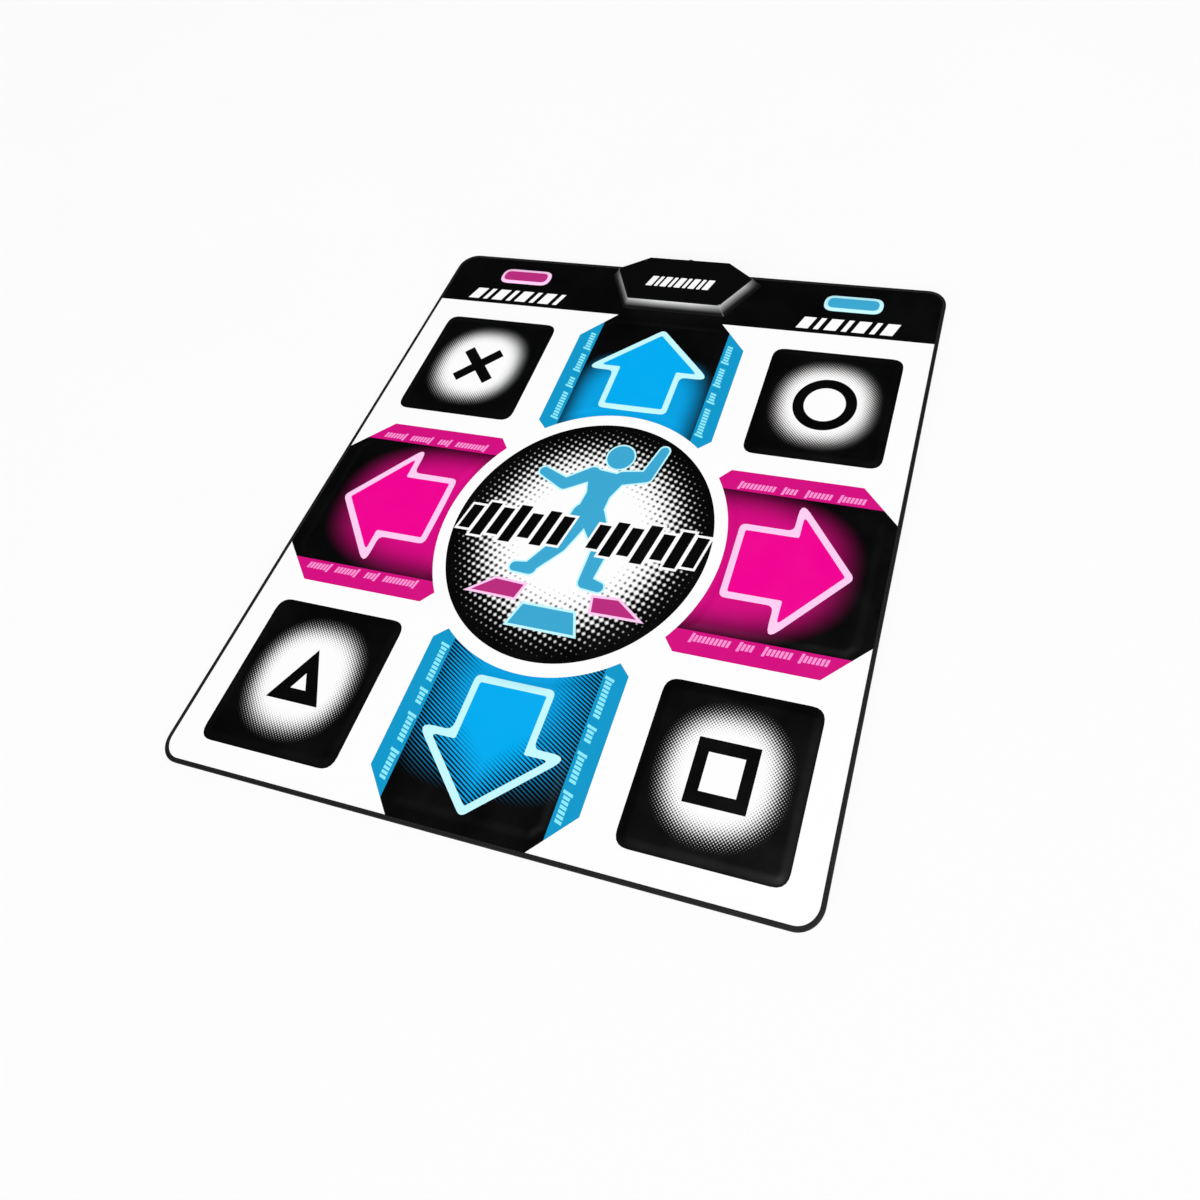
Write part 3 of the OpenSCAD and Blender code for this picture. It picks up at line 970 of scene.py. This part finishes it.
def print_materials():
    made = {ink: vinyl("vinyl_" + ink, colour).material for ink, colour in INKS.items()}
    made["disc"] = disc_material()
    for zone in SQUARES:
        made[zone + "_glow"] = glow_print(zone)
    for arrow in ARROWS:
        tone = "cyan" if arrow in ("up", "down") else "magenta"
        made[arrow + "_field"] = field_print(arrow, FIELD_INKS[tone])
        made[arrow + "_fill"] = made[tone]
    made["down_fill"] = hatched_fill("down", CYAN)
    return made


def scrim():
    """The woven back of the printed sheet."""
    recipe = Recipe("sheet_back", linear(214, 212, 206), 0.85)
    parts = recipe.axes()
    threads = [recipe.math("SINE", recipe.math("MULTIPLY", parts[i], 2 * math.pi / 0.0012)) for i in (0, 1)]
    recipe.bump(recipe.math("MAXIMUM", *threads), 0.0001, 0.6)
    return recipe.material


def tape_cloth():
    """Black woven polyester tape."""
    recipe = Recipe("binding_tape", linear(7, 7, 8), 0.62, Specular_IOR_Level=0.3, Sheen_Weight=0.03,
                    Sheen_Roughness=0.4)
    parts = recipe.axes()
    threads = [recipe.math("SINE", recipe.math("MULTIPLY", parts[i], 2 * math.pi / 0.0007)) for i in (0, 1)]
    recipe.bump(recipe.math("MULTIPLY", *threads), 0.00006, 0.7)
    recipe.set("Roughness", recipe.ramp(recipe.noise(40, 3), 0.3, 0.7, 0.5, 0.72))
    return recipe.material


def thread():
    recipe = Recipe("sewing_thread", linear(22, 22, 24), 0.55, Sheen_Weight=0.1)
    parts = recipe.axes()
    twist = recipe.math("ADD", parts[0], parts[1])
    recipe.bump(recipe.math("SINE", recipe.math("MULTIPLY", twist, 2 * math.pi / 0.0005)), 0.00008, 0.8)
    return recipe.material


def backing_cloth():
    """The dark non-slip sheet under the mat."""
    recipe = Recipe("non_slip_backing", linear(58, 58, 60), 0.8)
    recipe.bump(recipe.noise(400, 3), 0.0001, 0.6)
    recipe.set("Roughness", recipe.ramp(recipe.noise(30, 3), 0.3, 0.7, 0.68, 0.9))
    return recipe.material


def gloss_plastic():
    """The polished black of the control box, with a faint orange peel."""
    recipe = Recipe("box_gloss", linear(8, 8, 9), 0.16, Coat_Weight=0.6, Coat_Roughness=0.08)
    recipe.bump(recipe.noise(160, 2), 0.00004, 0.4)
    recipe.set("Roughness", recipe.ramp(recipe.noise(60, 4), 0.3, 0.75, 0.12, 0.24))
    return recipe.material


def side_painted_highlight():
    """The box's slanted sides: black, with a painted highlight, near white, under the top edge of the three
    front sides.
    """
    # silver here is the near-white colour of the painted highlight, not a silver finish
    black, silver = linear(5, 5, 6), linear(255, 255, 255)
    recipe = Recipe("box_side_painted_highlight", black, 0.3, Specular_IOR_Level=0.2)
    parts = recipe.axes()
    height = recipe.ramp(parts[2], (MAT_TOP + 3) * MM, (BOX_TOP - 1) * MM)
    across = recipe.ramp(recipe.math("ABSOLUTE", parts[0]), 0.03, 0.08, 0.85, 0.5)
    back = recipe.ramp(parts[1], (BOX_WIDEST_Y - 17) * MM, (BOX_WIDEST_Y + 3) * MM, 1.0, 0.0)
    # Painted highlight: strongest just under the top edge and in the middle of the front, none on the back
    # sides
    highlight_share = recipe.math("MULTIPLY", recipe.math("POWER", height, 1.5), recipe.math("MULTIPLY", across, back))
    recipe.set("Base Color", recipe.mix(highlight_share, black, silver))
    recipe.bump(recipe.noise(160, 2), 0.00004, 0.4)
    return recipe.material


def plain(name, colour, roughness, grain, depth, **inputs):
    """A moulded, foamed or printed material: one colour with its own grain and uneven gloss."""
    recipe = Recipe(name, linear(*colour), roughness, **inputs)
    recipe.bump(recipe.noise(grain, 3), depth, 0.6)
    wear = recipe.noise(grain / 8, 3)
    recipe.set("Roughness", recipe.ramp(wear, 0.3, 0.7, roughness * 0.85, roughness * 1.15))
    return recipe.material


def foam(name, colour):
    """Closed-cell foam: pale, matt, with small open pores."""
    recipe = Recipe(name, linear(*colour), 0.9, Sheen_Weight=0.1)
    cells = recipe.add("ShaderNodeTexVoronoi", {"Vector": recipe.place, "Scale": 900.0}).outputs["Distance"]
    recipe.bump(cells, 0.0002, 0.7)
    return recipe.material


# ---- Camera, light and floor ----

def studio():
    """A wide soft sun, and a dim world with one low panel that puts light on the box's front."""
    world = bpy.data.worlds.new("studio")
    bpy.context.scene.world = world
    world.use_nodes = True
    nodes, links = world.node_tree.nodes, world.node_tree.links
    background = nodes["Background"]
    place = nodes.new("ShaderNodeTexCoord")

    def towards(direction):
        node = nodes.new("ShaderNodeVectorMath")
        node.operation = "DOT_PRODUCT"
        links.new(place.outputs["Generated"], node.inputs[0])
        node.inputs[1].default_value = Vector(direction).normalized()
        return node.outputs["Value"]

    def spread(value, low, high, to_low, to_high):
        node = nodes.new("ShaderNodeMapRange")
        node.interpolation_type = "SMOOTHSTEP"
        links.new(value, node.inputs[0])
        for i, number in enumerate((low, high, to_low, to_high)):
            node.inputs[i + 1].default_value = number
        return node.outputs[0]

    low_panel = spread(towards((-0.36, -0.89, 0.26)), 0.9, 0.98, 0.0, 0.6)
    dark_flag = spread(towards((-0.33, 0.35, 0.88)), 0.3, 0.9, 0.2, 0.01)
    total = nodes.new("ShaderNodeMath")
    links.new(low_panel, total.inputs[0])
    links.new(dark_flag, total.inputs[1])
    links.new(total.outputs[0], background.inputs["Strength"])
    background.inputs["Color"].default_value = (1, 1, 1, 1)

    key = bpy.data.lights.new("key", "SUN")
    key.energy = 3.32
    key.angle = math.radians(36)
    lamp = bpy.data.objects.new("key", key)
    lamp.rotation_mode = "QUATERNION"
    lamp.rotation_quaternion = Vector((-0.35, 0.45, -1.0)).to_track_quat("-Z", "Y")
    bpy.context.scene.collection.objects.link(lamp)


def camera():
    """Stands at the front right, looks down at the middle of the mat, and is held tilted."""
    lens = bpy.data.cameras.new("camera")
    lens.sensor_width = 36
    lens.lens = 25
    lens.shift_x = -0.135
    lens.shift_y = -0.069
    lens.clip_start = 0.01
    lens.clip_end = 50
    eye = bpy.data.objects.new("camera", lens)
    eye.location = (0.504, -0.521, 0.925)
    target = Vector((0.237, 0.017, 0))
    eye.rotation_mode = "QUATERNION"
    look = (target - eye.location).to_track_quat("-Z", "Y")
    eye.rotation_quaternion = look @ Quaternion((0, 0, 1), math.radians(-14))
    bpy.context.scene.collection.objects.link(eye)
    bpy.context.scene.camera = eye


def floor():
    """A large white floor."""
    recipe = Recipe("floor", linear(250, 250, 250), 0.85, Specular_IOR_Level=0.2)
    recipe.set("Roughness", recipe.ramp(recipe.noise(3, 3), 0.3, 0.7, 0.8, 0.92))
    half = 20000
    corners = [(-half, -half, 0), (half, -half, 0), (half, half, 0), (-half, half, 0)]
    make_mesh("floor", corners, [(0, 1, 2, 3)], [recipe.material])


bpy.context.scene.view_settings.view_transform = "Standard"
studio()
camera()
floor()

# ---- The printed cover and its pads ----

printed = print_pieces(print_materials(), scrim())
for name, piece in printed.items():
    if name.endswith("_pad"):
        zone = name.removesuffix("_pad")
        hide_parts(zone + "_panel_skin", zone + "_panel_foam")
        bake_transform(piece)
    else:
        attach(piece, "mat")
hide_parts("printed_cover")


def stand_in(piece, node):
    """A piece that takes a CAD node's place on the mat."""
    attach(piece, "mat")
    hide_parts(node)
    return piece


tape = binding(tape_cloth())
face_outwards(tape)
stand_in(tape, "edge_binding")
sewing = stitches(thread())
face_outwards(sewing)
stand_in(sewing, "binding_stitching")
under = stand_in(backing(backing_cloth()), "backing_sheet")
# The box's slanted sides carry a painted highlight
shell = box_shell(gloss_plastic(), side_painted_highlight())
stand_in(shell, "box_cover")
label = box_label(vinyl("label_print", WHITE).material)
face_outwards(label)
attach(label, "mat")

# ---- The CAD nodes that stay, with their materials ----

film = plain("film", (205, 208, 205), 0.25, 300, 0.00002)
carbon = plain("carbon_ink", (32, 32, 34), 0.7, 1200, 0.00002)
silver = plain("silver_ink", (168, 168, 165), 0.45, 1500, 0.00002, Metallic=0.7)
white_foam = foam("white_foam", (232, 230, 224))
dull_plastic = plain("dull_plastic", (16, 16, 17), 0.55, 900, 0.00004)
nylon = plain("white_nylon", (226, 220, 204), 0.45, 600, 0.00002)
finishes = {
    "base_foam": white_foam, "spacer_foam": white_foam,
    "lower_circuit_film": film, "upper_circuit_film": film, "film_tails": film,
    "lower_contact_pads": carbon, "lower_tracks": silver, "common_track": silver,
    "box_base": dull_plastic, "tail_clamp": dull_plastic,
    "box_screws": plain("screw_steel", (176, 178, 182), 0.3, 700, 0.00002, Metallic=1.0),
    "cable_grommet": plain("grommet_rubber", (20, 20, 21), 0.7, 900, 0.00005),
    "circuit_board": plain("board_green", (14, 78, 42), 0.35, 500, 0.00002),
    "controller_chip": plain("chip_epoxy", (10, 10, 11), 0.25, 200, 0.0001),
    "board_components": plain("component_shells", (178, 150, 104), 0.4, 600, 0.00002),
    "cable_header": nylon, "film_connectors": nylon,
}
for zone in ZONE_RIMS:
    finishes[zone + "_contact_pad"] = carbon
soft_edges = ["box_base", "tail_clamp", "cable_grommet", "board_components", "cable_header",
              "film_connectors", "controller_chip", "box_screws"]
for node, material in finishes.items():
    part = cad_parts[node]
    part.data.materials.clear()
    part.data.materials.append(material)
    if node in soft_edges:
        edge = part.modifiers.new("soft_edges", "BEVEL")
        edge.width = 0.2 * MM
        edge.segments = 2
        edge.limit_method = "ANGLE"
